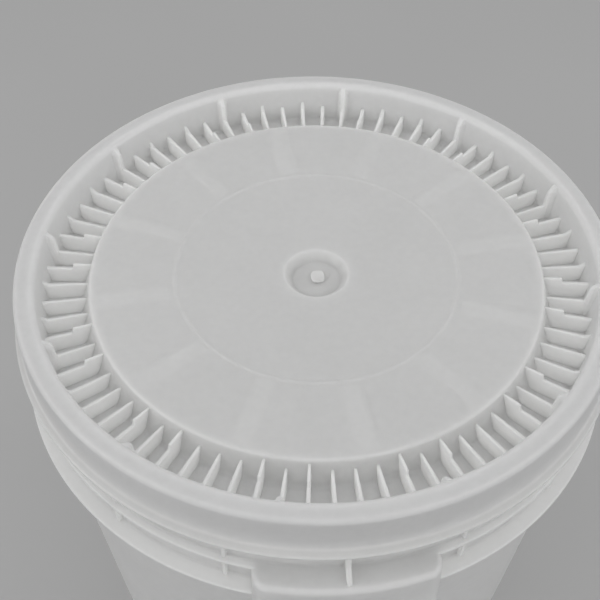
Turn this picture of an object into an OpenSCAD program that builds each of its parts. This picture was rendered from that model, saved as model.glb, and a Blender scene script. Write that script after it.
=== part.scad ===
// Plastic fermenting bucket: a tapered pail, a ribbed press-on lid and the seal ring inside the lid.
// +Z is up. The origin is the centre of the foot ring, in the plane the pail stands on.
// The two bail ears lie on the Y axis.

/* [Pail] */
// Height of the pail without its lid
pail_h = 438.5; // [420:1:460]
// Outer radius of the wall where it meets the rim
mouth_r = 150.6; // [150:0.1:150.8]
// Outer radius of the wall at the lower flange
collar_r = 149.8; // [148:0.1:150.4]
// Inward slope of the wall below the collar, as radius lost per unit of height
taper = 0.078; // [0.04:0.001:0.09]
// Wall thickness
wall = 2.4; // [2:0.1:2.6]
// Thickness of the floor
floor_t = 3; // [2.5:0.5:5]
// Height of the foot ring under the floor
foot_h = 6; // [4:1:12]
// Outer radius of the rim bead that the lid snaps over
bead_r = 152; // [151.5:0.1:152.1]
// Height of the rim bead
bead_h = 5; // [3:0.5:6]

/* [Collar] */
// Depth of the upper flange below the top of the lid
upper_drop = 47.5; // [40:0.5:55]
// Outer radius of the upper flange
upper_r = 154.3; // [153:0.1:156]
// Depth of the lower flange below the top of the lid
lower_drop = 65; // [60:0.5:75]
// Outer radius of the lower flange
lower_r = 158.1; // [156:0.1:160]
// Thickness of both flanges
flange_t = 2.2; // [1.5:0.1:3]
// Radius of the gussets' outer edges under the upper flange
gusset_r = 153.2; // [151:0.1:154]
// Thickness of the gusset plates
gusset_t = 2; // [1.5:0.1:3]
// Angles of the gussets on each side of an ear
gusset_angles = [21.7, 44.7];

/* [Ears] */
// Outer radius of an ear's front panel
ear_r = 163.6; // [161:0.1:168]
// Width of an ear
ear_w = 88; // [70:1:95]
// Height of an ear
ear_h = 32; // [28:1:40]
// Radius of an ear's upright front corners
ear_corner = 8; // [3:0.5:10]
// Thickness of the gusset that stands on an ear
ear_gusset_t = 2.6; // [2:0.1:5]
// Radius of the hole for a bail wire
bail_hole_r = 2.4; // [2:0.1:3]
// Outer radius of the boss around the bail hole
bail_boss_r = 8; // [6:0.5:10]

/* [Lid] */
// Radius of the rim's outer wall
lid_r = 155; // [155:0.1:156]
// Radius of the ledge around the bottom of the skirt
lip_r = 158.4; // [157.8:0.1:160]
// Height of the skirt
skirt_h = 27; // [25:0.5:29]
// Thickness of the ledge
ledge_t = 3; // [2:0.1:3.4]
// Depth of the centre panel below the rim
panel_drop = 9.5; // [6:0.5:12]
// Radius of the centre panel
panel_r = 115.6; // [110:0.1:119]
// How far the panel sags at its centre
panel_sag = 3.5; // [0.5:0.1:5]
// Rounding of the panel's edge
shoulder_round = 3.5; // [2.4:0.1:6]
// Slope of the channel's inner wall, in degrees off upright
channel_slope = 20; // [5:1:25]
// Depth of the rib channel below the rim
channel_drop = 24; // [20:0.5:26]
// Wall thickness of the lid
lid_t = 2.2; // [2:0.1:2.4]
// Angle of the first buttress rib from +X, set by how the lid was pushed on
lid_turn = 17.9; // [0:0.1:30]

/* [Lid ribs] */
// Number of radial ribs in the channel, a multiple of six
rib_count = 72; // [36:6:84]
// Thickness of a rib
rib_t = 1.8; // [1.2:0.1:2.4]
// Depth of the plain rib tops below the rim
rib_drop = 14.6; // [13:0.1:18]
// Depth at which a buttress starts on the channel's outer wall, below the rim
buttress_drop = 2; // [1:0.1:6]
// How far the sloping top of a buttress falls to its tip
buttress_fall = 2.8; // [1:0.1:5]
// How far a buttress stands out from the channel's outer wall
buttress_l = 3.4; // [2:0.1:6]
// Thickness of a buttress
buttress_t = 2.6; // [1.8:0.1:4]
// Size of the small chamfer where every third rib meets the outer wall
chamfer_l = 2.8; // [1:0.1:4]
// Height of the tooth at the panel end of a stepped rib
tooth_h = 3.3; // [1:0.1:5]
// Length of that tooth
tooth_l = 12.7; // [6:0.1:14]

/* [Panel relief] */
// Radius of the raised ring
ring_r = 74; // [60:0.5:90]
// Number of raised spokes outside the ring
spoke_count = 12; // [0:1:24]
// Angle of the first spoke from the first buttress rib
spoke_lead = -11.4; // [-15:0.1:15]
// Width of a spoke
spoke_w = 9; // [4:0.5:14]
// Height of the ring and the spokes
relief_h = 0.35; // [0.2:0.05:0.8]
// Radius of the dimple at the moulding gate
dimple_r = 16.6; // [12:0.1:20]
// Depth of the dimple
dimple_depth = 4.7; // [2.5:0.1:6]
// Radius of the gate nub
nub_r = 3.7; // [2:0.1:5]
// Height of the gate nub
nub_h = 2.3; // [1:0.1:4]

/* [Seal] */
// Width of the seal ring
seal_w = 4; // [3:0.1:4.2]

/* [Hidden] */
$fn = 120;

// The lid's top stands above the pail's rim by its own wall and the seal under it.
seal_h = 2.25;
seal_gap = 0.05;
lid_top = pail_h + seal_gap + seal_h + lid_t;
upper_z = lid_top - upper_drop;
lower_z = lid_top - lower_drop;
overlap = 1;
arc_steps = 5;
pail_colour = [0.93, 0.93, 0.91];
lid_colour = [0.95, 0.95, 0.93];
seal_colour = [0.6, 0.6, 0.6];

// Outer radius of the pail's wall at a height: nearly upright in the collar, tapered below it.
function wall_r(z) =
    z > lower_z
        ? collar_r + (mouth_r - collar_r) * (z - lower_z) / (pail_h - lower_z)
        : collar_r - taper * (lower_z - z);

// Points on an arc about a centre, from one angle to another.
function arc(centre, r, from, to) = [
    for (i = [0:arc_steps])
        let (a = from + (to - from) * i / arc_steps)
            centre + r * [cos(a), sin(a)]
];

// A plate that stands radially: its outline is in radius and height.
module radial_plate(outline, thickness) {
    rotate([90, 0, 0])
        translate([0, 0, -thickness / 2])
            linear_extrude(thickness)
                polygon(outline);
}

// ---- Pail ----

ear_angles = [-90, 90];
bead_round = 1.2;
foot_round = 2;
cavity_z = foot_h + floor_t;
foot_inner_slope = 0.5;

module pail_shell() {
    outline = concat(
        [[wall_r(foot_round), foot_round]],
        [[collar_r, lower_z]],
        [[wall_r(pail_h - bead_h - overlap), pail_h - bead_h - overlap]],
        [[bead_r, pail_h - bead_h]],
        arc([bead_r - bead_round, pail_h - bead_round], bead_round, 0, 90),
        arc([mouth_r - wall + bead_round, pail_h - bead_round], bead_round, 90, 180),
        [[collar_r - wall, lower_z]],
        [[wall_r(cavity_z + foot_round) - wall, cavity_z + foot_round]],
        [[wall_r(cavity_z) - wall - foot_round, cavity_z]],
        [[0, cavity_z]],
        [[0, foot_h]],
        [[wall_r(foot_h) - 2 * wall - foot_inner_slope * foot_h, foot_h]],
        [[wall_r(0) - 2 * wall, 0]],
        arc([wall_r(foot_round) - foot_round, foot_round], foot_round, -90, 0)
    );
    rotate_extrude()
        polygon(outline);
}

// What stands on the pail's outside reaches this far in, to be trimmed inside the wall.
root_r = collar_r - wall - overlap;

module flange(z_top, r) {
    edge = flange_t / 2;
    rotate_extrude()
        polygon(concat(
            [[root_r, z_top - flange_t]],
            arc([r - edge, z_top - edge], edge, -90, 90),
            [[root_r, z_top]]
        ));
}

// Everything inside the wall, less a depth into it.
module wall_core(depth) {
    rotate_extrude()
        polygon([
            [0, -overlap],
            [wall_r(-overlap) - depth, -overlap],
            [collar_r - depth, lower_z],
            [mouth_r - depth, pail_h],
            [0, pail_h]
        ]);
}

// The gussets end this far below the lid's ledge.
ledge_gap = 2;
gusset_top = lid_top - skirt_h - ledge_gap;

// A gusset from the lower flange up past the upper one, almost to the lid's ledge.
module collar_gusset() {
    low = lower_z - flange_t / 2;
    waist_r = gusset_r - 1.2;
    radial_plate([
        [root_r, low],
        [waist_r, low],
        [gusset_r, upper_z - flange_t],
        [waist_r, upper_z],
        [waist_r, gusset_top],
        [root_r, gusset_top]
    ], gusset_t);
}

// The ear's plan starts this far from the axis, inside the wall even at the ear's corners.
ear_back_x = sqrt(pow(collar_r - wall, 2) - pow(ear_w / 2, 2)) - ear_corner;

// The ear's plan: a round front with rounded corners and straight sides.
module ear_plan(r, width, corner) {
    side = width / 2 - corner;
    front = sqrt(pow(r - corner, 2) - pow(side, 2));
    intersection() {
        circle(r);
        union() {
            translate([ear_back_x, -side])
                square([r - ear_back_x, 2 * side]);
            translate([ear_back_x, -width / 2])
                square([front - ear_back_x, width]);
            for (s = [-1, 1])
                translate([front, s * side])
                    circle(corner);
        }
    }
}

module ear_block() {
    translate([0, 0, upper_z - ear_h])
        linear_extrude(ear_h)
            ear_plan(ear_r, ear_w, ear_corner);
}

// The hollow inside an ear, open at the bottom.
module ear_hollow() {
    translate([0, 0, upper_z - ear_h - overlap])
        linear_extrude(ear_h + overlap - flange_t)
            ear_plan(ear_r - wall, ear_w - 2 * wall, ear_corner - wall);
}

bail_z = upper_z - ear_h / 2;

// The boss around the bail hole and the web that ties it to the wall and the shelf.
module ear_boss() {
    end_r = ear_r - wall / 2;
    translate([root_r, 0, bail_z])
        rotate([0, 90, 0])
            cylinder(h = end_r - root_r, r = bail_boss_r);
    radial_plate([
        [root_r - overlap, upper_z - ear_h],
        [end_r, upper_z - ear_h],
        [end_r, upper_z - flange_t / 2],
        [root_r - overlap, upper_z - flange_t / 2]
    ], ear_gusset_t);
}

// The gusset that stands on the ear's shelf, with a low toe and a steep upper part.
module ear_gusset() {
    end_r = ear_r - 3;
    knee_r = ear_r - 8.6;
    head_r = mouth_r + 1.2;
    toe_h = 0.8;
    knee_h = 4;
    radial_plate([
        [root_r, upper_z - flange_t / 2],
        [end_r, upper_z - flange_t / 2],
        [end_r, upper_z + toe_h],
        [knee_r, upper_z + knee_h],
        [head_r, gusset_top],
        [root_r, gusset_top]
    ], ear_gusset_t);
}

// The blind hole that a bail wire's end hooks into, clear of the pail's own wall.
module bail_hole() {
    hole_floor = 1.5;
    bottom_r = wall_r(bail_z) + hole_floor;
    translate([bottom_r, 0, bail_z])
        rotate([0, 90, 0])
            cylinder(h = ear_r + overlap - bottom_r, r = bail_hole_r);
}

// The flanges and the two hollow ears, before they are trimmed to the wall.
module collar() {
    difference() {
        union() {
            flange(upper_z, upper_r);
            flange(lower_z, lower_r);
            for (ear = ear_angles)
                rotate([0, 0, ear])
                    ear_block();
        }
        for (ear = ear_angles)
            rotate([0, 0, ear])
                ear_hollow();
    }
    for (ear = ear_angles)
        rotate([0, 0, ear]) {
            ear_boss();
            ear_gusset();
            for (a = gusset_angles, s = [-1, 1])
                rotate([0, 0, s * a])
                    collar_gusset();
        }
}

module pail() {
    color(pail_colour)
        difference() {
            union() {
                pail_shell();
                difference() {
                    collar();
                    wall_core(wall / 2);
                }
            }
            for (ear = ear_angles)
                rotate([0, 0, ear])
                    bail_hole();
        }
}

// ---- Lid ----

rim_round = 2.5;
channel_round = 1.5;
// Radius of the channel's outer wall at its floor and at the rim, on the channel's side.
channel_r = 141.6;
rim_inner_r = 144.3;
rim_inner_round = 3.6;
// Radius of the pocket that holds the seal, on its inner and outer sides.
pocket_inner_r = 147.4;
pocket_outer_r = 153.2;
// The snap ridge inside the skirt, drawn just clear of the pail's bead.
ridge_r = bead_r + 0.15;
ridge_drop = 19;
ridge_h = 1.5;

// Radius of the channel's outer wall at a depth below the rim.
function channel_wall_r(drop) = rim_inner_r - (rim_inner_r - channel_r) * drop / channel_drop;

// Radius of the channel's inner wall at a depth below the rim, below the panel's rounded edge.
shoulder_r = panel_r + shoulder_round * cos(channel_slope);
shoulder_drop = panel_drop + shoulder_round * (1 - sin(channel_slope));
function panel_wall_r(drop) = shoulder_r + (drop - shoulder_drop) * tan(channel_slope);

// Height of the panel's top at a radius. It sags like a disc held at its edge and loaded in the middle.
function panel_z(r) =
    -panel_drop - panel_sag * (1 - pow(r / panel_r, 2) * (1 + 2 * ln(panel_r / r)));

// The panel is level inside this radius, around the dimple.
level_r = dimple_r + 1;
gate_z = panel_z(level_r);
sag_steps = 8;
sag_radii = [for (i = [0:sag_steps - 1]) level_r + (panel_r - level_r) * i / sag_steps];

module lid_shell() {
    side = lid_t + 0.1;
    blend = 1.8;
    lead_in = 0.6;
    ridge_flank = 2;
    floor_low = -channel_drop - lid_t;
    shoulder_centre = [panel_r, -panel_drop - shoulder_round];
    top_side = concat(
        [[0, gate_z]],
        [for (r = sag_radii) [r, panel_z(r)]],
        arc(shoulder_centre, shoulder_round, 90, channel_slope),
        [[panel_wall_r(channel_drop), -channel_drop]],
        arc([channel_r - channel_round, channel_round - channel_drop], channel_round, -90, 0),
        arc([rim_inner_r + rim_inner_round, -rim_inner_round], rim_inner_round, 180, 90),
        arc([lid_r - rim_round, -rim_round], rim_round, 90, 0),
        arc([lid_r + blend, -skirt_h + ledge_t + blend], blend, 180, 270),
        arc([lip_r - ledge_t / 2, -skirt_h + ledge_t / 2], ledge_t / 2, 90, -90)
    );
    underside = concat(
        [[pocket_outer_r + lead_in, -skirt_h]],
        [[pocket_outer_r, -skirt_h + lead_in]],
        [[pocket_outer_r, -ridge_drop - ridge_h - ridge_flank]],
        [[ridge_r, -ridge_drop - ridge_h]],
        [[ridge_r, -ridge_drop]],
        [[pocket_outer_r, -ridge_drop + ridge_flank]],
        [[pocket_outer_r, -lid_t]],
        [[pocket_inner_r, -lid_t]],
        [[channel_wall_r(channel_drop) + side, -channel_drop]],
        [[channel_wall_r(channel_drop) + side - channel_round, floor_low]],
        [[panel_wall_r(-floor_low) - side, floor_low]],
        arc(shoulder_centre, shoulder_round - lid_t, channel_slope, 90),
        [for (i = [sag_steps - 1:-1:0]) [sag_radii[i], panel_z(sag_radii[i]) - lid_t]],
        [[0, gate_z - lid_t]]
    );
    rotate_extrude()
        polygon(concat(top_side, underside));
}

// One rib across the channel. kind 0 carries the buttress, 1 the tooth, 2 the chamfer, 3 neither.
module lid_rib(kind) {
    base = -channel_drop - lid_t / 2;
    sink = 1;
    tooth_lean = 0.5;
    tooth_root = panel_r + 2;
    chamfer_top = -rib_drop + chamfer_l;
    outer_end = kind == 2 ? [
        [channel_wall_r(-chamfer_top) + overlap, chamfer_top],
        [channel_wall_r(-chamfer_top), chamfer_top],
        [channel_wall_r(rib_drop) - chamfer_l, -rib_drop]
    ] : [
        [channel_wall_r(rib_drop) + overlap, -rib_drop]
    ];
    inner_end = kind == 1 ? [
        [panel_r + tooth_l + tooth_lean, -rib_drop],
        [panel_r + tooth_l, -rib_drop + tooth_h],
        [tooth_root, -rib_drop + tooth_h]
    ] : [
        [panel_wall_r(rib_drop) - sink, -rib_drop]
    ];
    radial_plate(concat(
        [[panel_wall_r(channel_drop) - sink, base]],
        [[channel_r + overlap, base]],
        outer_end,
        inner_end
    ), rib_t);
    if (kind == 0)
        buttress();
}

// The thicker column at the channel's outer wall, with a top that slopes down to its tip.
module buttress() {
    base = -channel_drop - lid_t / 2;
    tip_drop = buttress_drop + buttress_fall;
    tip_r = channel_wall_r(tip_drop) - buttress_l;
    foot_r = channel_r - buttress_l;
    radial_plate([
        [foot_r, base],
        [channel_r + overlap, base],
        [channel_wall_r(buttress_drop) + overlap, -buttress_drop],
        [channel_wall_r(buttress_drop), -buttress_drop],
        [tip_r, -tip_drop]
    ], buttress_t);
}

// The order of the ribs: buttress, tooth, chamfer, plain, chamfer, tooth, and round again.
rib_kinds = [0, 1, 2, 3, 2, 1];

module lid_ribs() {
    for (i = [0:rib_count - 1])
        rotate([0, 0, lid_turn + i * 360 / rib_count])
            lid_rib(rib_kinds[i % len(rib_kinds)]);
}

// The raised ring and spokes on the panel.
module panel_relief() {
    ring_w = 1.6;
    spoke_end = panel_r - 1;
    ring_z = panel_z(ring_r);
    end_z = panel_z(spoke_end);
    translate([0, 0, ring_z - overlap])
        linear_extrude(overlap + relief_h)
            difference() {
                circle(ring_r + ring_w / 2);
                circle(ring_r - ring_w / 2);
            }
    for (i = [0:spoke_count - 1])
        rotate([0, 0, lid_turn + spoke_lead + i * 360 / spoke_count])
            radial_plate([
                [ring_r, ring_z - overlap],
                [spoke_end, end_z - overlap],
                [spoke_end, end_z + relief_h],
                [ring_r, ring_z + relief_h]
            ], spoke_w);
}

// How much smaller the dimple is at its floor than at its lip.
dimple_slope = 2.6;

// The thicker spot under the dimple keeps the lid's wall whole there.
module gate_pad() {
    translate([0, 0, gate_z - lid_t - dimple_depth])
        cylinder(
            h = dimple_depth + overlap,
            r1 = dimple_r - dimple_slope + lid_t,
            r2 = dimple_r + lid_t
        );
}

module gate_dimple() {
    translate([0, 0, gate_z - dimple_depth])
        cylinder(h = dimple_depth, r1 = dimple_r - dimple_slope, r2 = dimple_r);
    translate([0, 0, gate_z])
        cylinder(h = overlap, r = dimple_r);
}

module gate_nub() {
    top_r = 0.8 * nub_r;
    translate([0, 0, gate_z - dimple_depth - overlap])
        cylinder(h = nub_h + overlap, r1 = nub_r, r2 = top_r);
}

module lid() {
    color(lid_colour)
        translate([0, 0, lid_top])
            union() {
                difference() {
                    union() {
                        lid_shell();
                        gate_pad();
                    }
                    gate_dimple();
                }
                lid_ribs();
                panel_relief();
                gate_nub();
            }
}

// ---- Seal ----

module lid_gasket() {
    seal_round = 0.6;
    middle_r = (pocket_inner_r + pocket_outer_r) / 2;
    low = pail_h + seal_gap + seal_round;
    high = pail_h + seal_gap + seal_h - seal_round;
    inner = middle_r - seal_w / 2 + seal_round;
    outer = middle_r + seal_w / 2 - seal_round;
    color(seal_colour)
        rotate_extrude()
            polygon(concat(
                arc([outer, low], seal_round, -90, 0),
                arc([outer, high], seal_round, 0, 90),
                arc([inner, high], seal_round, 90, 180),
                arc([inner, low], seal_round, 180, 270)
            ));
}

pail();
lid();
lid_gasket();
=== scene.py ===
"""Plastic fermenting bucket: refined meshes, materials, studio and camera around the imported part.

Outlines are in millimetres, in radius and height, and become metres when a mesh is made.
"""
import math
import random

import bmesh
import bpy
from mathutils import Matrix, Vector


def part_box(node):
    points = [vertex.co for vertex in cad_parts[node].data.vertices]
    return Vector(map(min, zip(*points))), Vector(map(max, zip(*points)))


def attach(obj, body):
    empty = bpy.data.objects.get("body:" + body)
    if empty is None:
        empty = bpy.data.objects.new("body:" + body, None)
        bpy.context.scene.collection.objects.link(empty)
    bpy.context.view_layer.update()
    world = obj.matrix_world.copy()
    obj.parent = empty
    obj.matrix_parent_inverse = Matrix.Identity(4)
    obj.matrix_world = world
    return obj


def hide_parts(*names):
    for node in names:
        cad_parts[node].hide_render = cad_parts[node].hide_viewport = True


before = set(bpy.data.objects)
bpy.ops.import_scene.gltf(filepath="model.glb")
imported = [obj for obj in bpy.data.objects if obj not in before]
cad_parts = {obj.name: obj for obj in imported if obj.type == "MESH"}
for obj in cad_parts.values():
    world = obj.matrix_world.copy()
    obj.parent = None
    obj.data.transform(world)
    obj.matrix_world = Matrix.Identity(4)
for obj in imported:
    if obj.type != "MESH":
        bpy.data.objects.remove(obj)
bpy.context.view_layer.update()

MM = 0.001

# ---- Sizes in millimetres, the same as the part's. The first four come from its boxes. ----

PAIL_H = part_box("pail")[1][2] / MM
LID_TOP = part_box("lid")[1][2] / MM
LIP_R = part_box("lid")[1][0] / MM
EAR_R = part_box("pail")[1][1] / MM

MOUTH_R = 150.6
COLLAR_R = 149.8
TAPER = 0.078
WALL = 2.4
FLOOR_T = 3
FLOOR_INSET = 0.4
FOOT_H = 6
FOOT_INNER_SLOPE = 0.5
BEAD_R = 152
BEAD_H = 5

UPPER_Z = LID_TOP - 47.5
UPPER_R = 154.3
LOWER_Z = LID_TOP - 65
LOWER_R = 158.1
FLANGE_T = 2.2
GUSSET_R = 153.2
GUSSET_WAIST_R = 152
GUSSET_T = 2
GUSSET_EDGE = 0.45
GUSSET_ANGLES = (21.7, 44.7)

EAR_W = 88
EAR_H = 32
EAR_CORNER = 8
EAR_EDGE = 2.8
EAR_GUSSET_T = 2.6
EAR_GUSSET_EDGE = 0.8
EAR_WEB_EDGE = 0.3
BAIL_HOLE_R = 2.4
BAIL_HOLE_FLOOR = 1.5
BAIL_BOSS_R = 8

LID_R = 155
SKIRT_H = 27
# The skirt flares out to a thin lip over this height.
FLARE_H = 5.2
LIP_T = 1.4
PANEL_DROP = 9.5
PANEL_R = 115.6
PANEL_SAG = 3.5
SHOULDER_ROUND = 3.5
CHANNEL_DROP = 24
CHANNEL_SLOPE = math.radians(20)
CHANNEL_R = 141.6
RIM_INNER_R = 144.3
RIM_INNER_ROUND = 3.6
LID_T = 2.2
LID_TURN = 17.9
POCKET_INNER_R = 147.4
POCKET_OUTER_R = 153.2
# The snap ridge inside the skirt is just clear of the pail's bead.
RIDGE_R = BEAD_R + 0.15
RIDGE_DROP = 19
RIDGE_H = 1.5
RIDGE_FLANK = 2
LEAD_IN = 0.6
LEAD_IN_H = 1.4

RIB_COUNT = 72
RIB_KINDS = ("buttress", "tooth", "chamfer", "plain", "chamfer", "tooth")
RIB_TOP_T = 2
RIB_BASE_T = 2.8
RIB_INNER_SHARE = 0.62
RIB_EDGE = 0.55
RIB_DROP = 14.6
# How far a rib reaches into the walls that it joins.
RIB_SINK = 1
# Where the panel's underside has its corners, between the shoulder and the dimple.
UNDERSIDE_RADII = (110, 90, 65, 40)
BUTTRESS_DROP = 2
BUTTRESS_FALL = 2.8
BUTTRESS_L = 3.4
BUTTRESS_T = 2.6
BUTTRESS_FLARE = 2
BUTTRESS_NOSE = 0.8
BUTTRESS_SINK = 1.2
CHAMFER_L = 2.8
CHAMFER_LEAN = 0.6
TOOTH_H = 3.3
TOOTH_L = 12.7
TOOTH_LEAN = 0.5
TOOTH_ROOT_R = PANEL_R + 2

RING_R = 74
RING_H = 0.28
RING_SOFT = 0.9
SPOKE_COUNT = 12
SPOKE_LEAD = -11.4
SPOKE_W = 9
SPOKE_H = 0.35
# A spoke rises over SPOKE_START at the ring, and over SPOKE_SOFT at its sides and its outer end.
SPOKE_START = 5
SPOKE_SOFT = 3
DIMPLE_R = 16.6
DIMPLE_SLOPE = 2.6
DIMPLE_DEPTH = 4.7
# The dimple's soft wall runs from its foot to its lip, both measured outwards from DIMPLE_R.
DIMPLE_FOOT = -4.4
DIMPLE_LIP = 0.8
# The panel is level inside this radius, around the dimple.
LEVEL_R = DIMPLE_R + 1
NUB_R = 3.6
NUB_SHIFT = 0.6
NUB_HOLLOW_RIM = 0.9
NUB_HOLLOW_DEPTH = 1.4

# Meshes: steps around Z, how far a solid reaches past the face that it cuts, and the most of a side
# that a fillet at its end may use up.
TURN_STEPS = 360
OVERCUT = 1
FILLET_SHARE = 0.49


def wall_r(z):
    """Outer radius of the pail's wall at a height: nearly upright in the collar, tapered below."""
    if z > LOWER_Z:
        return COLLAR_R + (MOUTH_R - COLLAR_R) * (z - LOWER_Z) / (PAIL_H - LOWER_Z)
    return COLLAR_R - TAPER * (LOWER_Z - z)


# ---- Outline and mesh helpers ----

def rounded(corners, steps=4):
    """A polyline of (r, z, fillet) corners with each inner corner that has a fillet turned into an arc."""
    points = []
    for i, (r, z, fillet) in enumerate(corners):
        inner = 0 < i < len(corners) - 1
        if not inner or fillet <= 0:
            points.append((r, z))
            continue
        here = Vector((r, z))
        before = Vector(corners[i - 1][:2]) - here
        after = Vector(corners[i + 1][:2]) - here
        half = before.angle(after) / 2
        cut = min(fillet / math.tan(half), FILLET_SHARE * before.length, FILLET_SHARE * after.length)
        radius = cut * math.tan(half)
        middle = (before.normalized() + after.normalized()).normalized()
        centre = here + middle * (radius / math.sin(half))
        start = here + before.normalized() * cut - centre
        end = here + after.normalized() * cut - centre
        sweep = start.angle_signed(end)
        for step in range(steps + 1):
            arm = Matrix.Rotation(-sweep * step / steps, 2) @ start
            points.append(tuple(centre + arm))
    return points


def spaced(start, end, steps):
    """Evenly spaced values from start to end, both included."""
    return [start + (end - start) * step / steps for step in range(steps + 1)]


def arc(x, y, r, start, end, steps):
    """Points (x, y) along an arc around a centre, both ends included."""
    return [(x + r * math.cos(angle), y + r * math.sin(angle)) for angle in spaced(start, end, steps)]


def new_object(name, bm):
    """An object with the mesh of bm, which is in millimetres."""
    bmesh.ops.scale(bm, vec=(MM, MM, MM), verts=bm.verts)
    bmesh.ops.recalc_face_normals(bm, faces=bm.faces)
    mesh = bpy.data.meshes.new(name)
    bm.to_mesh(mesh)
    bm.free()
    obj = bpy.data.objects.new(name, mesh)
    bpy.context.scene.collection.objects.link(obj)
    return obj


def lathe(bm, outline, turn=0.0):
    """Turn an outline of (r, z) points around Z. Points on the axis become one vertex each."""
    rings = []
    for r, z in outline:
        if r < 1e-6:
            rings.append([bm.verts.new((0, 0, z))] * TURN_STEPS)
            continue
        ring = []
        for step in range(TURN_STEPS):
            angle = math.radians(turn + 360 * step / TURN_STEPS)
            ring.append(bm.verts.new((r * math.cos(angle), r * math.sin(angle), z)))
        rings.append(ring)
    for low, high in zip(rings, rings[1:]):
        for step in range(TURN_STEPS):
            after = (step + 1) % TURN_STEPS
            corners = []
            for vert in (low[step], low[after], high[after], high[step]):
                if vert not in corners:
                    corners.append(vert)
            bm.faces.new(corners)


def plate(bm, outline, top_t, base_t, edge, turn, inner_share=1):
    """A radial plate with an outline of (r, z) points, thicker at its base, with rounded edges.

    At its inner end its thickness is inner_share of that at its outer end.
    """
    high = max(z for _, z in outline)
    low = min(z for _, z in outline)
    outer = max(r for r, _ in outline)
    inner = min(r for r, _ in outline)
    part = bmesh.new()
    sides = []
    for side in (-1, 1):
        face = []
        for r, z in outline:
            share = (z - low) / (high - low)
            reach = inner_share + (1 - inner_share) * (r - inner) / (outer - inner)
            half = reach * (base_t + (top_t - base_t) * share) / 2
            face.append(part.verts.new((r, side * half, z)))
        sides.append(face)
    count = len(outline)
    part.faces.new(sides[0])
    part.faces.new(reversed(sides[1]))
    for i in range(count):
        after = (i + 1) % count
        part.faces.new((sides[0][i], sides[0][after], sides[1][after], sides[1][i]))
    bmesh.ops.recalc_face_normals(part, faces=part.faces)
    rims = [e for e in part.edges if (e.verts[0] in sides[0]) == (e.verts[1] in sides[0])]
    bmesh.ops.bevel(part, geom=rims, offset=edge, segments=3, profile=0.5, affect="EDGES")
    bmesh.ops.rotate(part, verts=part.verts, matrix=Matrix.Rotation(math.radians(turn), 3, "Z"))
    add(bm, part)


def add(bm, part):
    """Copy the mesh of part into bm and free part."""
    mesh = bpy.data.meshes.new("part")
    part.to_mesh(mesh)
    part.free()
    bm.from_mesh(mesh)
    bpy.data.meshes.remove(mesh)


def loft(bm, loops):
    """A closed solid through loops of equal length, capped at both ends."""
    rows = [[bm.verts.new(point) for point in loop] for loop in loops]
    count = len(rows[0])
    for low, high in zip(rows, rows[1:]):
        for i in range(count):
            after = (i + 1) % count
            bm.faces.new((low[i], low[after], high[after], high[i]))
    bm.faces.new(rows[0])
    bm.faces.new(rows[-1])


def combine(obj, other, operation):
    """Join or cut obj with other and drop other."""
    modifier = obj.modifiers.new("combine", "BOOLEAN")
    modifier.operation = operation
    modifier.solver = "MANIFOLD"
    modifier.object = other
    bpy.context.view_layer.update()
    shaped = obj.evaluated_get(bpy.context.evaluated_depsgraph_get())
    mesh = bpy.data.meshes.new_from_object(shaped)
    obj.modifiers.clear()
    obj.data = mesh
    bpy.data.objects.remove(other)


def finish_shading(obj, angle=35):
    """Smooth shading that keeps flats flat and edges above the angle sharp."""
    for face in obj.data.polygons:
        face.use_smooth = True
    obj.data.set_sharp_from_angle(angle=math.radians(angle))
    normals = obj.modifiers.new("normals", "WEIGHTED_NORMAL")
    normals.keep_sharp = True
    normals.mode = "FACE_AREA"


# ---- Pail ----

def pail_outline():
    """The pail's whole section, from the inside of its floor over the rim to its underside."""
    cavity_z = FOOT_H + FLOOR_T
    bead_low = PAIL_H - BEAD_H
    corners = [
        (0, cavity_z, 0),
        (wall_r(cavity_z) - WALL - FLOOR_INSET, cavity_z, 4),
        (COLLAR_R - WALL, LOWER_Z, 30),
        (wall_r(PAIL_H) - WALL, PAIL_H, 1.1),
        (BEAD_R, PAIL_H, 1.2),
        (BEAD_R, bead_low, 1),
        (wall_r(bead_low - 1), bead_low - 1, 0.8),
    ]
    for z, r in ((UPPER_Z, UPPER_R), (LOWER_Z, LOWER_R)):
        corners += [
            (wall_r(z), z, 1.3),
            (r, z, 0.9),
            (r, z - FLANGE_T, 0.9),
            (wall_r(z - FLANGE_T), z - FLANGE_T, 1.3),
        ]
    corners += [
        (wall_r(0), 0, 2),
        (wall_r(0) - 2 * WALL, 0, 1),
        (wall_r(FOOT_H) - 2 * WALL - FOOT_INNER_SLOPE * FOOT_H, FOOT_H, 1),
        (0, FOOT_H, 0),
    ]
    return rounded(corners)


def ear_level(inset, z, back_r):
    """An ear's outline at a height: straight sides, rounded corners and front, and a back in the wall."""
    r = EAR_R - inset
    half = EAR_W / 2 - inset
    corner = max(EAR_CORNER - inset, 0.3)
    centre_y = half - corner
    centre_x = math.sqrt((r - corner) ** 2 - centre_y ** 2)
    lean = math.atan2(centre_y, centre_x)
    back_lean = math.asin(half / back_r)
    plan = arc(centre_x, -centre_y, corner, -math.pi / 2, -lean, 8)
    plan += arc(0, 0, r, -lean, lean, 24)[1:-1]
    plan += arc(centre_x, centre_y, corner, lean, math.pi / 2, 8)
    plan += arc(0, 0, back_r, back_lean, -back_lean, 24)
    return [(x, y, z) for x, y in plan]


def ear_solid(inset, low, high, edge, sink):
    """The ear as a solid between two heights. Its back lies at a depth in the pail's wall."""
    levels = [(inset, low)]
    for angle in spaced(0, math.pi / 2, 4):
        levels.append((inset + edge * (1 - math.cos(angle)), high - edge + edge * math.sin(angle)))
    bm = bmesh.new()
    loft(bm, [ear_level(i, z, wall_r(z) - sink) for i, z in levels])
    return bm


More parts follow.
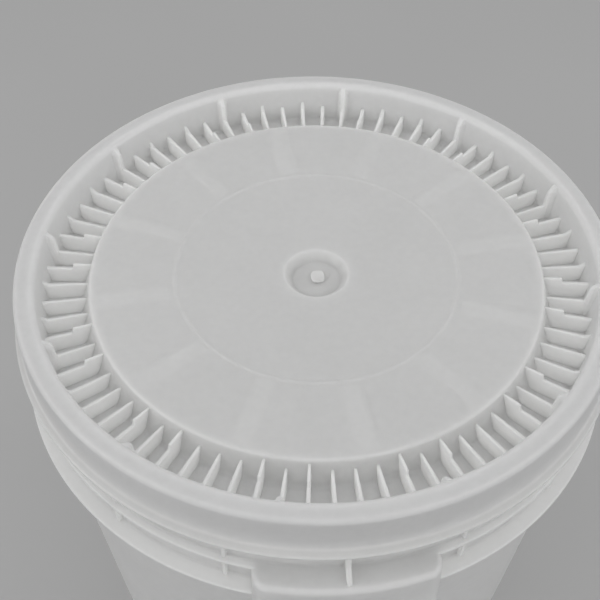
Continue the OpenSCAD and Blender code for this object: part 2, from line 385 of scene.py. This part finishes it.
def turned(bm, angle):
    """Turn bm around Z by an angle in degrees."""
    bmesh.ops.rotate(bm, verts=bm.verts, matrix=Matrix.Rotation(math.radians(angle), 3, "Z"))
    return bm


def barrel(r, x_from, x_to, z):
    """A round bar along X at a height."""
    bm = bmesh.new()
    circle = arc(0, z, r, 0, 2 * math.pi, 48)[:-1]
    loft(bm, [[(x, across, up) for across, up in circle] for x in (x_from, x_to)])
    return bm


# The plates that stand on the pail's outside start inside its wall.
ROOT_R = MOUTH_R - 0.75 * WALL
LEDGE_GAP = 2
GUSSET_TOP = LID_TOP - SKIRT_H - LEDGE_GAP


def collar_gusset(turn):
    """A gusset from the lower flange up past the upper one, almost to the lid's ledge."""
    bm = bmesh.new()
    plate(bm, rounded([
        (ROOT_R, LOWER_Z - FLANGE_T / 2, 0),
        (GUSSET_WAIST_R, LOWER_Z - FLANGE_T / 2, 0),
        (GUSSET_R, UPPER_Z - FLANGE_T, 2),
        (GUSSET_WAIST_R, UPPER_Z, 2),
        (GUSSET_WAIST_R, GUSSET_TOP, 1),
        (ROOT_R, GUSSET_TOP, 0),
    ]), GUSSET_T, GUSSET_T, GUSSET_EDGE, turn)
    return bm


def ear_gusset(turn):
    """The gusset that stands on an ear's shelf, with a low toe and a steep upper part."""
    end_r = EAR_R - 3
    toe_h = 0.8
    knee_r = EAR_R - 8.6
    knee_h = 4
    head_r = MOUTH_R + 1.2
    bm = bmesh.new()
    plate(bm, rounded([
        (ROOT_R, UPPER_Z - FLANGE_T / 2, 0),
        (end_r, UPPER_Z - FLANGE_T / 2, 0),
        (end_r, UPPER_Z + toe_h, 0.7),
        (knee_r, UPPER_Z + knee_h, 6),
        (head_r, GUSSET_TOP, 1),
        (ROOT_R, GUSSET_TOP, 0),
    ]), EAR_GUSSET_T, EAR_GUSSET_T, EAR_GUSSET_EDGE, turn)
    return bm


def ear_web(turn):
    """The web under the shelf that carries the bail boss."""
    low = UPPER_Z - EAR_H + 0.5
    end_r = EAR_R - WALL / 2
    bm = bmesh.new()
    plate(bm, [
        (wall_r(low) - WALL / 2, low),
        (end_r, low),
        (end_r, UPPER_Z - FLANGE_T / 2),
        (ROOT_R, UPPER_Z - FLANGE_T / 2),
    ], EAR_GUSSET_T, EAR_GUSSET_T, EAR_WEB_EDGE, turn)
    return bm


def make_pail():
    """The pail with its collar, its gussets and its two ears, as one solid."""
    bm = bmesh.new()
    lathe(bm, pail_outline())
    pail = new_object("pail_body", bm)
    bail_z = UPPER_Z - EAR_H / 2
    low = UPPER_Z - EAR_H
    boss_root = wall_r(bail_z) - WALL / 2
    for turn in (-90, 90):
        ear = new_object("ear", turned(ear_solid(0, low, UPPER_Z, EAR_EDGE, WALL / 2), turn))
        hollow = ear_solid(WALL, low - OVERCUT, UPPER_Z - FLANGE_T, 1, -0.01)
        combine(ear, new_object("hollow", turned(hollow, turn)), "DIFFERENCE")
        combine(ear, new_object("web", ear_web(turn)), "UNION")
        boss = barrel(BAIL_BOSS_R, boss_root, EAR_R - WALL / 2, bail_z)
        combine(ear, new_object("boss", turned(boss, turn)), "UNION")
        hole = barrel(BAIL_HOLE_R, wall_r(bail_z) + BAIL_HOLE_FLOOR, EAR_R + OVERCUT, bail_z)
        combine(ear, new_object("hole", turned(hole, turn)), "DIFFERENCE")
        combine(ear, new_object("gusset", ear_gusset(turn)), "UNION")
        combine(pail, ear, "UNION")
        for angle in GUSSET_ANGLES:
            for side in (-1, 1):
                gusset = new_object("gusset", collar_gusset(turn + side * angle))
                combine(pail, gusset, "UNION")
    finish_shading(pail)
    return pail


# ---- Lid ----

def channel_wall_r(drop):
    """Radius of the channel's outer wall at a depth below the rim."""
    return RIM_INNER_R - (RIM_INNER_R - CHANNEL_R) * drop / CHANNEL_DROP


def panel_wall_r(drop):
    """Radius of the channel's inner wall at a depth below the rim."""
    shoulder_r = PANEL_R + SHOULDER_ROUND * math.cos(CHANNEL_SLOPE)
    shoulder_drop = PANEL_DROP + SHOULDER_ROUND * (1 - math.sin(CHANNEL_SLOPE))
    return shoulder_r + (drop - shoulder_drop) * math.tan(CHANNEL_SLOPE)


def panel_z(r):
    """Height of the panel's plain top, which sags like a disc held at its edge and loaded in the middle."""
    share = max(r, LEVEL_R) / PANEL_R
    return -PANEL_DROP - PANEL_SAG * (1 - share ** 2 * (1 - 2 * math.log(share)))


def panel_radii():
    """Radii of the panel's rings of vertices, closer together where its relief changes."""
    ring_reach = 4
    radii = [0, 5, 8, 11]
    radii += spaced(DIMPLE_R - 5, DIMPLE_R + 1, 15)
    radii += [DIMPLE_R + 1.4, DIMPLE_R + 2]
    radii += spaced(20, RING_R - ring_reach, 8)
    radii += spaced(RING_R - ring_reach, RING_R + ring_reach, 16)[1:]
    radii += spaced(RING_R + ring_reach, PANEL_R, 20)[1:]
    return radii


def lid_outline():
    """The lid's whole section, from the middle of the panel over the rim and back underneath.

    The panel is drawn level here. panel_relief shapes it afterwards.
    """
    side = LID_T + 0.1
    floor_low = -CHANNEL_DROP - LID_T
    gate_low = panel_z(0) - LID_T
    top = [
        (PANEL_R, -PANEL_DROP, 0),
        (panel_wall_r(PANEL_DROP), -PANEL_DROP, SHOULDER_ROUND),
        (panel_wall_r(CHANNEL_DROP), -CHANNEL_DROP, 3.5),
        (CHANNEL_R, -CHANNEL_DROP, 2.5),
        (RIM_INNER_R, 0, RIM_INNER_ROUND),
        (LID_R, -0.45, 2.5),
    ]
    skirt = [
        (LID_R + 0.2, -SKIRT_H + FLARE_H, 3),
        (LIP_R - 0.9, -SKIRT_H + LIP_T + 0.5, 2),
        (LIP_R, -SKIRT_H + LIP_T, 0.5),
        (LIP_R, -SKIRT_H, 0.5),
        (POCKET_OUTER_R + LEAD_IN, -SKIRT_H, 0.4),
        (POCKET_OUTER_R, -SKIRT_H + LEAD_IN_H, 0.6),
        (RIDGE_R, -RIDGE_DROP - RIDGE_H, 0.5),
        (RIDGE_R, -RIDGE_DROP, 0.5),
        (POCKET_OUTER_R, -RIDGE_DROP + RIDGE_FLANK, 0.6),
    ]
    pocket = [
        (POCKET_OUTER_R, -LID_T, 0.6),
        (POCKET_INNER_R, -LID_T, 0.6),
    ]
    underside = [
        (channel_wall_r(CHANNEL_DROP) + side, floor_low + 1.5, 1.5),
        (channel_wall_r(CHANNEL_DROP) + side - 1.5, floor_low, 0),
        (panel_wall_r(-floor_low) - side, floor_low, 1.2),
        (panel_wall_r(PANEL_DROP + LID_T) - side, -PANEL_DROP - LID_T, SHOULDER_ROUND - LID_T),
    ]
    underside += [(r, panel_z(r) - LID_T, 0) for r in UNDERSIDE_RADII]
    underside += [
        (DIMPLE_R + 2, gate_low, 0.8),
        (DIMPLE_R - DIMPLE_SLOPE + 2, gate_low - DIMPLE_DEPTH, 0.8),
        (0, gate_low - DIMPLE_DEPTH, 0),
    ]
    panel = [(r, -PANEL_DROP) for r in panel_radii()]
    return panel + rounded(top + skirt + pocket + underside)[1:]


def smooth_step(x):
    """0 up to 0 and 1 from 1 on, with a smooth rise between."""
    x = min(max(x, 0), 1)
    return x * x * (3 - 2 * x)


def panel_relief(r, angle):
    """Height of the panel's top: sag, dimple, faint ring and soft spokes."""
    dimple = -DIMPLE_DEPTH * (1 - smooth_step((r - DIMPLE_R - DIMPLE_FOOT) / (DIMPLE_LIP - DIMPLE_FOOT)))
    ring = RING_H * math.exp(-((r - RING_R) / RING_SOFT) ** 2)
    pitch = 360 / SPOKE_COUNT
    off = (angle - LID_TURN - SPOKE_LEAD + pitch / 2) % pitch - pitch / 2
    aside = abs(math.radians(off)) * r
    along = smooth_step((r - RING_R) / SPOKE_START) * smooth_step((PANEL_R - r) / SPOKE_SOFT)
    spoke = SPOKE_H * smooth_step((SPOKE_W / 2 + SPOKE_SOFT / 2 - aside) / SPOKE_SOFT) * along
    return panel_z(r) + dimple + ring + spoke


def rib_outline(kind):
    """A rib's outline in the channel, in radius and height below the rim."""
    base = -CHANNEL_DROP - LID_T / 2
    root = panel_wall_r(RIB_DROP) - RIB_SINK
    if kind == "chamfer":
        outer = [
            (CHANNEL_R + RIB_SINK, base),
            (channel_wall_r(RIB_DROP - CHAMFER_L) + RIB_SINK, -RIB_DROP + CHAMFER_L + CHAMFER_LEAN),
            (channel_wall_r(RIB_DROP) - CHAMFER_L, -RIB_DROP),
            (root, -RIB_DROP),
        ]
    elif kind == "tooth":
        outer = rounded([
            (CHANNEL_R + RIB_SINK, base, 0),
            (channel_wall_r(RIB_DROP) + RIB_SINK, -RIB_DROP, 0),
            (PANEL_R + TOOTH_L + TOOTH_LEAN, -RIB_DROP, 1),
            (PANEL_R + TOOTH_L, -RIB_DROP + TOOTH_H, 0.7),
            (TOOTH_ROOT_R, -RIB_DROP + TOOTH_H, 0),
        ])
    else:
        outer = [
            (CHANNEL_R + RIB_SINK, base),
            (channel_wall_r(RIB_DROP) + RIB_SINK, -RIB_DROP),
            (root, -RIB_DROP),
        ]
    return [(panel_wall_r(CHANNEL_DROP) - RIB_SINK, base)] + outer


def buttress(bm, turn):
    """A column on the channel's outer wall that flares into it, with a top sloping down to its tip."""
    base = -CHANNEL_DROP - LID_T / 2
    tip_z = -BUTTRESS_DROP - BUTTRESS_FALL
    heights = [base, -CHANNEL_DROP + 1, -RIB_DROP, tip_z - 0.9]
    heights += [tip_z + BUTTRESS_FALL * share for share in (-0.1, 0.1, 0.35, 0.6, 0.85, 1)]
    half = BUTTRESS_T / 2
    least_length = 0.15
    tip_round = 0.35
    loops = []
    for z in heights:
        wall = channel_wall_r(-z)
        above = max(z - tip_z, 0) / BUTTRESS_FALL
        length = BUTTRESS_L * (1 - above) + least_length
        if z > tip_z - 0.5:
            length -= tip_round * (1 - above)
        flare = min(BUTTRESS_FLARE, length * 0.7)
        nose = min(BUTTRESS_NOSE, length * 0.4)
        side = [(wall + BUTTRESS_SINK, half + flare), (wall, half + flare)]
        for angle in spaced(0, math.pi / 2, 5)[1:]:
            side.append((wall - flare * math.sin(angle), half + flare * (1 - math.sin(angle)) ** 1.5))
        for angle in spaced(0, math.pi / 2, 4):
            tip = wall - length + nose * (1 - math.sin(angle))
            side.append((tip, half - nose * (1 - math.cos(angle))))
        loop = [(x, y, z) for x, y in side]
        loop += [(x, -y, z) for x, y in reversed(side)]
        loops.append(loop)
    part = bmesh.new()
    loft(part, loops)
    add(bm, turned(part, turn))


def gate_nub():
    """The torn stub that the moulding gate leaves, ragged on top."""
    rng = random.Random(7)
    steps = 28
    jag = [rng.uniform(-0.25, 0.25) for _ in range(steps)]
    base = panel_z(0) - DIMPLE_DEPTH
    # Each level has a scale of the radius, a height above the dimple's floor and a share of raggedness.
    levels = ((0.85, -0.8, 0), (0.86, 0.3, 0), (0.94, 1.1, 0.3), (1.02, 1.7, 1), (0.98, 2.1, 1))
    loops = []
    for scale, height, rough in levels:
        loop = []
        for step in range(steps):
            angle = 2 * math.pi * step / steps
            squarish = 1 / max(abs(math.cos(angle)), abs(math.sin(angle))) ** 0.5
            r = NUB_R * scale * squarish
            tear = rough * (1.5 * jag[step] + 0.6 * math.sin(angle - 0.3))
            loop.append((NUB_SHIFT + r * math.cos(angle), r * math.sin(angle), base + height + tear))
        loops.append(loop)
    bm = bmesh.new()
    loft(bm, loops)
    top = max(bm.faces, key=lambda f: f.calc_center_median().z)
    bmesh.ops.inset_individual(bm, faces=[top], thickness=NUB_HOLLOW_RIM, depth=-NUB_HOLLOW_DEPTH)
    return bm


def make_lid():
    """The lid with its relief, ribs, columns and gate stub, as one solid."""
    bm = bmesh.new()
    lathe(bm, lid_outline(), turn=LID_TURN)
    for vert in bm.verts:
        r = math.hypot(vert.co.x, vert.co.y)
        on_panel = abs(vert.co.z + PANEL_DROP) < 1e-6 and r < PANEL_R + 0.1
        if on_panel:
            vert.co.z = panel_relief(r, math.degrees(math.atan2(vert.co.y, vert.co.x)))
    lid = new_object("lid_body", bm)
    ribs = bmesh.new()
    columns = bmesh.new()
    for i in range(RIB_COUNT):
        kind = RIB_KINDS[i % len(RIB_KINDS)]
        turn = LID_TURN + i * 360 / RIB_COUNT
        plate(ribs, rib_outline(kind), RIB_TOP_T, RIB_BASE_T, RIB_EDGE, turn, RIB_INNER_SHARE)
        if kind == "buttress":
            buttress(columns, turn)
    combine(lid, new_object("ribs", ribs), "UNION")
    combine(lid, new_object("columns", columns), "UNION")
    combine(lid, new_object("nub", gate_nub()), "UNION")
    lid.data.transform(Matrix.Translation((0, 0, LID_TOP * MM)))
    finish_shading(lid)
    return lid


# ---- Materials ----

PAIL_TINT = (0.86, 0.86, 0.85)
LID_TINT = (0.93, 0.93, 0.92)
# Painted shade on rings of the lid around Z (the panel and its shoulder, the dimple's floor, the skirt's
# flare and lip): the radius where the painted shade is full, the radius where it ends, and how much it
# darkens the colour.
LID_PAINTED_SHADE = (
    (PANEL_R + 3, PANEL_R + 8, 0.15),
    (DIMPLE_R - 5, DIMPLE_R - 1, 0.1),
    (LID_R + 1.5, LID_R, 0.24),
)
SPECK_TINT = (0.12, 0.11, 0.1, 1)
# The share of the speck pattern's cells that hold a speck.
SPECK_SHARE = 0.035
RUBBER_TINT = (0.33, 0.33, 0.32, 1)
POWDER_TINT = (0.42, 0.42, 0.41, 1)
# How far light spreads inside the polyethylene, in metres.
GLOW_DEPTH = 0.008
# Between these two values lies most of what a noise node gives.
NOISE_LOW = 0.3
NOISE_HIGH = 0.7


def node(tree, kind, **inputs):
    """A shader node with its inputs set. An input can be a value or another node's socket."""
    made = tree.nodes.new(kind)
    for name, value in inputs.items():
        socket = made.inputs[name.replace("_", " ")]
        if isinstance(value, bpy.types.NodeSocket):
            tree.links.new(value, socket)
        else:
            socket.default_value = value
    return made


def noise(tree, place, scale, detail=3.0, roughness=0.5, low=0.0, high=1.0):
    """Noise with a number of features per metre, mapped from its usual spread to a range."""
    made = node(tree, "ShaderNodeTexNoise", Vector=place, Scale=scale, Detail=detail, Roughness=roughness)
    spread = tree.nodes.new("ShaderNodeMapRange")
    spread.clamp = False
    tree.links.new(made.outputs["Fac"], spread.inputs["Value"])
    spread.inputs["From Min"].default_value = NOISE_LOW
    spread.inputs["From Max"].default_value = NOISE_HIGH
    spread.inputs["To Min"].default_value = low
    spread.inputs["To Max"].default_value = high
    return spread.outputs["Result"]


def math_node(tree, operation, first, second):
    """The result of a math node on two values or sockets."""
    made = tree.nodes.new("ShaderNodeMath")
    made.operation = operation
    for socket, value in zip(made.inputs, (first, second)):
        if isinstance(value, bpy.types.NodeSocket):
            tree.links.new(value, socket)
        else:
            socket.default_value = value
    return made.outputs["Value"]


def radial_share(tree, place, full, none):
    """1 from the radius `full` on and 0 from the radius `none` on, in millimetres around Z."""
    parts = node(tree, "ShaderNodeSeparateXYZ", Vector=place)
    flat = node(tree, "ShaderNodeCombineXYZ", X=parts.outputs["X"], Y=parts.outputs["Y"])
    reach = tree.nodes.new("ShaderNodeVectorMath")
    reach.operation = "LENGTH"
    tree.links.new(flat.outputs["Vector"], reach.inputs[0])
    share = tree.nodes.new("ShaderNodeMapRange")
    share.interpolation_type = "SMOOTHSTEP"
    tree.links.new(reach.outputs["Value"], share.inputs["Value"])
    share.inputs["From Min"].default_value = none * MM
    share.inputs["From Max"].default_value = full * MM
    return share.outputs["Result"]


def polyethylene(name, tint, painted_shade_rings=()):
    """White polyethylene: satin and cloudy inside, with faint mottling, fine grain and a few specks.

    The rings around Z that the last argument lists get painted shade: their base colour is darkened to
    stand in for shade.
    """
    material = bpy.data.materials.new(name)
    material.use_nodes = True
    tree = material.node_tree
    shader = tree.nodes["Principled BSDF"]
    place = tree.nodes.new("ShaderNodeTexCoord").outputs["Object"]

    clouds = noise(tree, place, 14, detail=4, low=0.965, high=1.02)
    mottle = noise(tree, place, 260, detail=2, low=0.985, high=1.01)
    shade = math_node(tree, "MULTIPLY", clouds, mottle)
    # Painted shade: each listed ring around Z darkens the base colour, standing in for shade.
    for full, none, shade_strength in painted_shade_rings:
        dark = math_node(tree, "MULTIPLY", radial_share(tree, place, full, none), shade_strength)
        shade = math_node(tree, "MULTIPLY", shade, math_node(tree, "SUBTRACT", 1.0, dark))

    cells = node(tree, "ShaderNodeTexVoronoi", Vector=place, Scale=42.0)
    dot = node(tree, "ShaderNodeMapRange", Value=cells.outputs["Distance"], From_Min=0.02, From_Max=0.035)
    pick = tree.nodes.new("ShaderNodeSeparateColor")
    tree.links.new(cells.outputs["Color"], pick.inputs["Color"])
    rare = math_node(tree, "LESS_THAN", pick.outputs["Red"], SPECK_SHARE)
    clear = math_node(tree, "SUBTRACT", 1.0, dot.outputs["Result"])
    speck = math_node(tree, "MULTIPLY", clear, rare)

    base = tree.nodes.new("ShaderNodeMix")
    base.data_type = "RGBA"
    base.blend_type = "MULTIPLY"
    base.inputs["Factor"].default_value = 1.0
    base.inputs["A"].default_value = (*tint, 1)
    tree.links.new(shade, base.inputs["B"])
    dirty = tree.nodes.new("ShaderNodeMix")
    dirty.data_type = "RGBA"
    tree.links.new(speck, dirty.inputs["Factor"])
    tree.links.new(base.outputs["Result"], dirty.inputs["A"])
    dirty.inputs["B"].default_value = SPECK_TINT
    tree.links.new(dirty.outputs["Result"], shader.inputs["Base Color"])

    satin = noise(tree, place, 22, detail=5, low=0.32, high=0.42)
    tree.links.new(satin, shader.inputs["Roughness"])
    shader.inputs["IOR"].default_value = 1.52
    shader.inputs["Specular IOR Level"].default_value = 0.42
    shader.inputs["Subsurface Weight"].default_value = 1.0
    shader.inputs["Subsurface Radius"].default_value = (1, 1, 1)
    shader.inputs["Subsurface Scale"].default_value = GLOW_DEPTH

    grain = noise(tree, place, 1500, detail=3, roughness=0.6)
    waves = noise(tree, place, 60, detail=2)
    fine = node(tree, "ShaderNodeBump", Strength=0.25, Distance=0.0001, Height=grain)
    broad = node(tree, "ShaderNodeBump", Strength=0.35, Distance=0.0004, Height=waves,
                 Normal=fine.outputs["Normal"])
    tree.links.new(broad.outputs["Normal"], shader.inputs["Normal"])
    return material


def rubber(name):
    """Soft grey seal rubber with a fine matte skin and a dusting of lighter powder."""
    material = bpy.data.materials.new(name)
    material.use_nodes = True
    tree = material.node_tree
    shader = tree.nodes["Principled BSDF"]
    place = tree.nodes.new("ShaderNodeTexCoord").outputs["Object"]
    powder = noise(tree, place, 90, detail=6)
    colour = tree.nodes.new("ShaderNodeMix")
    colour.data_type = "RGBA"
    tree.links.new(powder, colour.inputs["Factor"])
    colour.inputs["A"].default_value = RUBBER_TINT
    colour.inputs["B"].default_value = POWDER_TINT
    tree.links.new(colour.outputs["Result"], shader.inputs["Base Color"])
    tree.links.new(noise(tree, place, 200, low=0.6, high=0.8), shader.inputs["Roughness"])
    skin = noise(tree, place, 2200, detail=2)
    bump = node(tree, "ShaderNodeBump", Strength=0.3, Distance=0.0001, Height=skin)
    tree.links.new(bump.outputs["Normal"], shader.inputs["Normal"])
    return material


def paint(obj, material):
    """Give an object one material."""
    obj.data.materials.clear()
    obj.data.materials.append(material)


# ---- Studio ----

FLOOR_TINT = (0.49, 0.49, 0.49)
# How far the floor reaches from the middle in millimetres, and its gap under the foot ring in metres.
FLOOR_REACH = 12000
FLOOR_GAP = 0.0005
# Brightness of the sky straight up, and of the horizon behind the camera and across from it.
SKY_TOP = 0.91
SKY_FRONT = 0.78
SKY_BACK = 0.22
# Two soft lamps, one at each side: where they stand, what they face, their size in metres and their watts.
LAMP_X = 1.3
LAMP_Y = -0.35
LAMP_Z = 1.1
LAMP_TARGET = (0, 0, 0.4)
LAMP_SIZE = 0.4
LEFT_POWER = 2.8
RIGHT_POWER = 2.0


def make_floor():
    """A plain pale floor, wide enough to fill the view."""
    bm = bmesh.new()
    bmesh.ops.create_grid(bm, x_segments=8, y_segments=8, size=FLOOR_REACH)
    floor = new_object("floor", bm)
    floor.location.z = -FLOOR_GAP
    material = bpy.data.materials.new("floor")
    material.use_nodes = True
    tree = material.node_tree
    shader = tree.nodes["Principled BSDF"]
    place = tree.nodes.new("ShaderNodeTexCoord").outputs["Object"]
    soft = noise(tree, place, 1.6, detail=2, low=0.98, high=1.02)
    colour = tree.nodes.new("ShaderNodeMix")
    colour.data_type = "RGBA"
    colour.blend_type = "MULTIPLY"
    colour.inputs["Factor"].default_value = 1.0
    colour.inputs["A"].default_value = (*FLOOR_TINT, 1)
    tree.links.new(soft, colour.inputs["B"])
    tree.links.new(colour.outputs["Result"], shader.inputs["Base Color"])
    shader.inputs["Roughness"].default_value = 0.9
    shader.inputs["Specular IOR Level"].default_value = 0.1
    paint(floor, material)


def lamp(name, x, power):
    """A soft round lamp at one side that faces the object."""
    place = Vector((x, LAMP_Y, LAMP_Z))
    data = bpy.data.lights.new(name, "AREA")
    data.shape = "DISK"
    data.size = LAMP_SIZE
    data.energy = power
    light = bpy.data.objects.new(name, data)
    light.location = place
    light.rotation_euler = (Vector(LAMP_TARGET) - place).to_track_quat("-Z", "Y").to_euler()
    bpy.context.scene.collection.objects.link(light)


def make_studio():
    """A soft sky, bright overhead and behind the camera, and a lamp at each side."""
    world = bpy.data.worlds.new("studio")
    world.use_nodes = True
    tree = world.node_tree
    background = tree.nodes["Background"]
    direction = tree.nodes.new("ShaderNodeTexCoord").outputs["Generated"]
    parts = node(tree, "ShaderNodeSeparateXYZ", Vector=direction)
    rise = math_node(tree, "MAXIMUM", parts.outputs["Z"], 0.0)
    top = math_node(tree, "MULTIPLY", rise, SKY_TOP)
    near_horizon = math_node(tree, "SUBTRACT", 1.0, math_node(tree, "ABSOLUTE", parts.outputs["Z"], 0.0))
    towards = math_node(tree, "MULTIPLY", math_node(tree, "MINIMUM", parts.outputs["Y"], 0.0), -SKY_FRONT)
    away = math_node(tree, "MULTIPLY", math_node(tree, "MAXIMUM", parts.outputs["Y"], 0.0), SKY_BACK)
    sides = math_node(tree, "MULTIPLY", math_node(tree, "ADD", towards, away), near_horizon)
    strength = math_node(tree, "ADD", top, sides)
    tree.links.new(strength, background.inputs["Strength"])
    background.inputs["Color"].default_value = (1, 1, 1, 1)
    bpy.context.scene.world = world
    lamp("left", -LAMP_X, LEFT_POWER)
    lamp("right", LAMP_X, RIGHT_POWER)
    bpy.context.scene.view_settings.view_transform = "Standard"


# The camera's place in metres, the direction it looks in, its tilt below level, its roll and its lens.
CAMERA_PLACE = Vector((-0.0427, -0.3745, 0.8336))
CAMERA_AZIMUTH = math.radians(84.8)
CAMERA_TILT = math.radians(48.43)
CAMERA_ROLL = math.radians(-0.3)
CAMERA_LENS = 63.02


def make_camera():
    """The camera that the picture is taken with."""
    level = Vector((math.cos(CAMERA_AZIMUTH), math.sin(CAMERA_AZIMUTH), 0))
    ahead = level * math.cos(CAMERA_TILT) - Vector((0, 0, math.sin(CAMERA_TILT)))
    right = Vector((math.sin(CAMERA_AZIMUTH), -math.cos(CAMERA_AZIMUTH), 0))
    up = right.cross(ahead)
    side = math.cos(CAMERA_ROLL) * right - math.sin(CAMERA_ROLL) * up
    top = math.sin(CAMERA_ROLL) * right + math.cos(CAMERA_ROLL) * up
    data = bpy.data.cameras.new("camera")
    data.lens = CAMERA_LENS
    camera = bpy.data.objects.new("camera", data)
    axes = Matrix((side, top, -ahead)).transposed()
    camera.matrix_world = Matrix.Translation(CAMERA_PLACE) @ axes.to_4x4()
    bpy.context.scene.collection.objects.link(camera)
    bpy.context.scene.camera = camera


# ---- Assembly ----

pail = make_pail()
lid = make_lid()
paint(pail, polyethylene("pail_plastic", PAIL_TINT))
# The lid's colour carries painted shade on its panel, shoulder, dimple floor and lip.
paint(lid, polyethylene("lid_plastic", LID_TINT, LID_PAINTED_SHADE))
paint(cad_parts["lid_gasket"], rubber("seal_rubber"))
for piece, body, cad_node in ((pail, "pail", "pail"), (lid, "lid", "lid")):
    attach(piece, body)
    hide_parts(cad_node)

make_floor()
make_studio()
make_camera()
